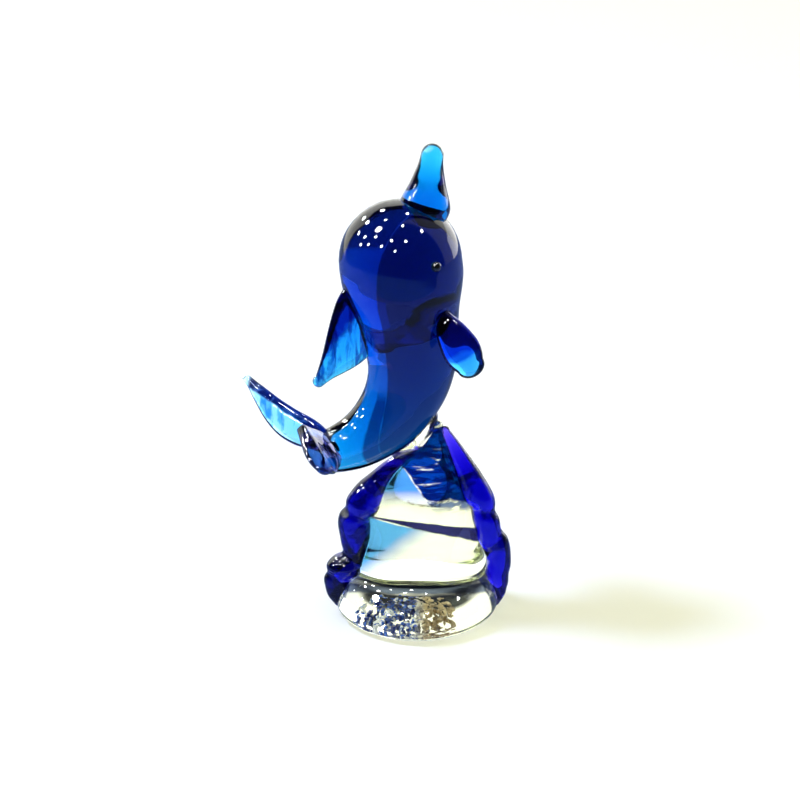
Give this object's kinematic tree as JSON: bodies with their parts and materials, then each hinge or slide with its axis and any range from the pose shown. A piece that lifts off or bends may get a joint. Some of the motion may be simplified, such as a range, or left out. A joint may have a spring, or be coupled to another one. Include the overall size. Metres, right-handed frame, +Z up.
{
  "type": "crystal glass figurine",
  "caption": "Solid blue glass dolphin standing upright with its beak raised, resting on a clear glass rock edged with wavy blue glass trails.",
  "frame": {"origin": "centre of the flat foot, on the surface that it stands on", "axes": "+Z up, +X towards the side that the dolphin's belly faces, -Y towards the side that shows its right flipper"},
  "size_m": [0.0667, 0.0444, 0.1194],
  "materials": {
    "clear_glass": "polished, transparent",
    "cobalt_glass": "polished, transparent cobalt blue",
    "deep_blue_glass": "polished, transparent deep blue",
    "azure_glass": "polished, transparent azure blue",
    "smoke_glass": "polished, transparent blue grey",
    "white_glass": "polished, opaque",
    "black_glass": "polished, opaque"
  },
  "bodies": {
    "root": {"rock": "clear_glass", "weld": "clear_glass", "fluke_drop": "clear_glass", "trail_left": "cobalt_glass", "trail_right": "cobalt_glass", "dolphin_body": "deep_blue_glass", "beak": "azure_glass", "dorsal_fin": "azure_glass", "flipper_right": "azure_glass", "flipper_left": "azure_glass", "fluke_left": "azure_glass", "fluke_right": "smoke_glass", "eye_right": "white_glass", "eye_left": "white_glass", "pupil_right": "black_glass", "pupil_left": "black_glass"}
  },
  "joints": []
}
